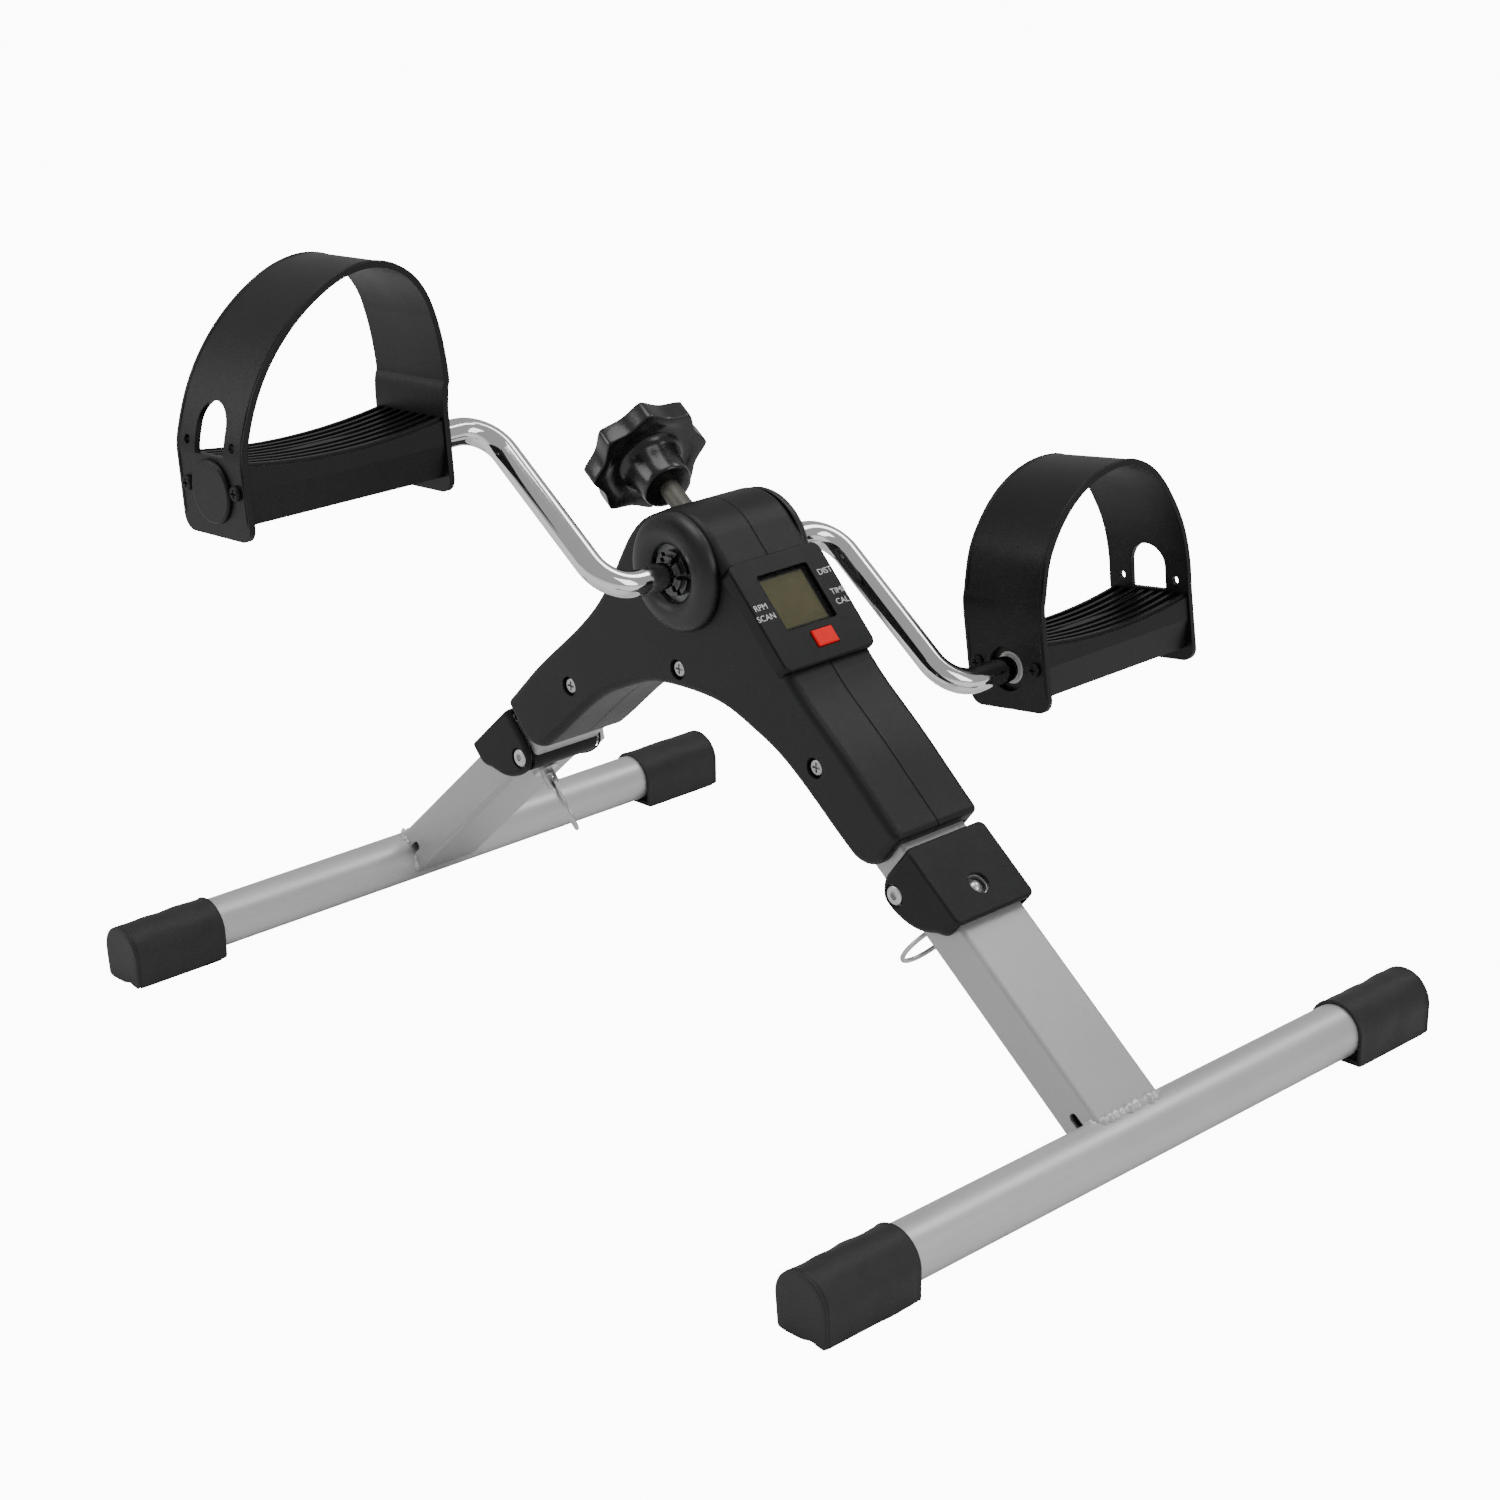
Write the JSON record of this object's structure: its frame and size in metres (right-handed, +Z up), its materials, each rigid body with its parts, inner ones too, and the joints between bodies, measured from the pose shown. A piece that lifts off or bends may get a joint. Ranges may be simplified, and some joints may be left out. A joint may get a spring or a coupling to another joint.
{
  "type": "pedal exerciser",
  "caption": "Folding floor pedal exerciser: bent one-piece crank with strapped pedals, screw brake knob, small display, two fold-in legs on foot bars",
  "frame": {"origin": "on the floor under the middle of the object", "axes": "+X towards the user and the display, along the two legs; +Y along the crank axis towards the right pedal; +Z up"},
  "size_m": [0.5274, 0.448, 0.3817],
  "materials": {
    "frame_paint": "satin metallic grey paint",
    "cap_rubber": "dull moulded rubber",
    "hinge_plastic": "fine grain",
    "bright_steel": "zinc plated",
    "chrome": "polished plating",
    "housing_plastic": "fine spark-eroded grain",
    "screw_black": "black oxide",
    "white_nylon": "natural nylon",
    "drum_iron": "turned",
    "brake_plastic": "moulded",
    "brake_felt": "dense felt",
    "knob_gloss": "glossy moulded",
    "console_plastic": "satin moulded",
    "lcd_window": "clear plastic window",
    "lcd_panel": "olive grey display",
    "board_green": "coated board",
    "cell_steel": "button cell",
    "sensor_black": "moulded",
    "button_red": "red moulded",
    "pedal_plastic": "satin moulded"
  },
  "bodies": {
    "frame": {"front_arm": "frame_paint", "rear_arm": "frame_paint", "hub_tube": "frame_paint", "hub_bushings": "white_nylon", "front_hinge_bracket": "bright_steel", "rear_hinge_bracket": "bright_steel", "front_hinge_cover": "hinge_plastic", "rear_hinge_cover": "hinge_plastic", "front_pivot_bolt": "bright_steel", "rear_pivot_bolt": "bright_steel", "pivot_nuts": "bright_steel", "housing_left": "housing_plastic", "housing_right": "housing_plastic", "housing_screws": "screw_black", "hub_cover_left": "housing_plastic", "hub_cover_right": "housing_plastic", "tension_nut": "bright_steel", "console_case": "console_plastic", "lcd_window": "lcd_window", "lcd_panel": "lcd_panel", "circuit_board": "board_green", "battery_cell": "cell_steel", "reed_sensor": "sensor_black"},
    "front_leg": {"front_leg": "frame_paint", "front_knuckle": "hinge_plastic", "front_foot_bar": "frame_paint", "front_cap_left": "cap_rubber", "front_cap_right": "cap_rubber"},
    "rear_leg": {"rear_leg": "frame_paint", "rear_knuckle": "hinge_plastic", "rear_foot_bar": "frame_paint", "rear_cap_left": "cap_rubber", "rear_cap_right": "cap_rubber"},
    "front_pin": {"front_lock_pin": "bright_steel"},
    "rear_pin": {"rear_lock_pin": "bright_steel"},
    "front_ring": {"front_pull_ring": "bright_steel"},
    "rear_ring": {"rear_pull_ring": "bright_steel"},
    "crank": {"crank": "chrome", "crank_nuts": "chrome", "crank_drum": "drum_iron", "sensor_magnet": "drum_iron", "spindle_nuts": "bright_steel"},
    "pedal_left": {"pedal_body_left": "pedal_plastic", "pedal_bushings_left": "white_nylon", "strap_left": "pedal_plastic", "strap_screws_left": "screw_black", "dust_cap_left": "pedal_plastic"},
    "pedal_right": {"pedal_body_right": "pedal_plastic", "pedal_bushings_right": "white_nylon", "strap_right": "pedal_plastic", "strap_screws_right": "screw_black", "dust_cap_right": "pedal_plastic"},
    "brake_shoe": {"brake_plunger": "brake_plastic", "brake_felt": "brake_felt"},
    "knob": {"tension_stud": "bright_steel", "tension_knob": "knob_gloss"},
    "mode_button": {"mode_button": "button_red"}
  },
  "joints": [
    {"name": "front_fold", "type": "hinge", "parent": "frame", "child": "front_leg", "pos_m": [0.13254, 0, 0.10196], "axis": [0, 1, 0], "range_deg": [0, 80]},
    {"name": "rear_fold", "type": "hinge", "parent": "frame", "child": "rear_leg", "pos_m": [-0.13254, 0, 0.10196], "axis": [0, -1, 0], "range_deg": [0, 80]},
    {"name": "front_pin_pull", "type": "slide", "parent": "front_leg", "child": "front_pin", "axis": [-0.6428, 0, -0.766], "range_m": [0, 0.024]},
    {"name": "rear_pin_pull", "type": "slide", "parent": "rear_leg", "child": "rear_pin", "axis": [0.6428, 0, -0.766], "range_m": [0, 0.024]},
    {"name": "front_ring_swing", "type": "hinge", "parent": "front_pin", "child": "front_ring", "pos_m": [0.13973, 0, 0.08313], "axis": [0, 1, 0], "range_deg": [-75, 20]},
    {"name": "rear_ring_swing", "type": "hinge", "parent": "rear_pin", "child": "rear_ring", "pos_m": [-0.13973, 0, 0.08313], "axis": [-0.6037, 0.6157, -0.5065], "range_deg": [-20, 75]},
    {"name": "crank_spin", "type": "hinge", "parent": "frame", "child": "crank", "pos_m": [0, 0, 0.2258], "axis": [0, 1, 0], "continuous": true},
    {"name": "pedal_left_spin", "type": "hinge", "parent": "crank", "child": "pedal_left", "pos_m": [-0.07246, -0.168, 0.29267], "axis": [0, 1, 0], "continuous": true},
    {"name": "pedal_right_spin", "type": "hinge", "parent": "crank", "child": "pedal_right", "pos_m": [0.07246, 0.168, 0.15893], "axis": [0, 1, 0], "continuous": true},
    {"name": "brake_press", "type": "slide", "parent": "frame", "child": "brake_shoe", "axis": [0.8703, -0.1788, -0.4589], "range_m": [0, 0.00133]},
    {"name": "knob_turn", "type": "hinge", "parent": "brake_shoe", "child": "knob", "pos_m": [-0.06702, 0.01377, 0.26113], "axis": [0.8703, -0.1788, -0.4589], "range_deg": [0, 320]},
    {"name": "button_press", "type": "slide", "parent": "frame", "child": "mode_button", "axis": [-0.7373, 0, -0.6756], "range_m": [0, 0.001], "stiffness_N_per_m": 300, "springref_m": -0.0006}
  ],
  "couplings": [
    {"joint": "knob_turn", "follows": "brake_press", "rad_per_m": 4188.8}
  ]
}
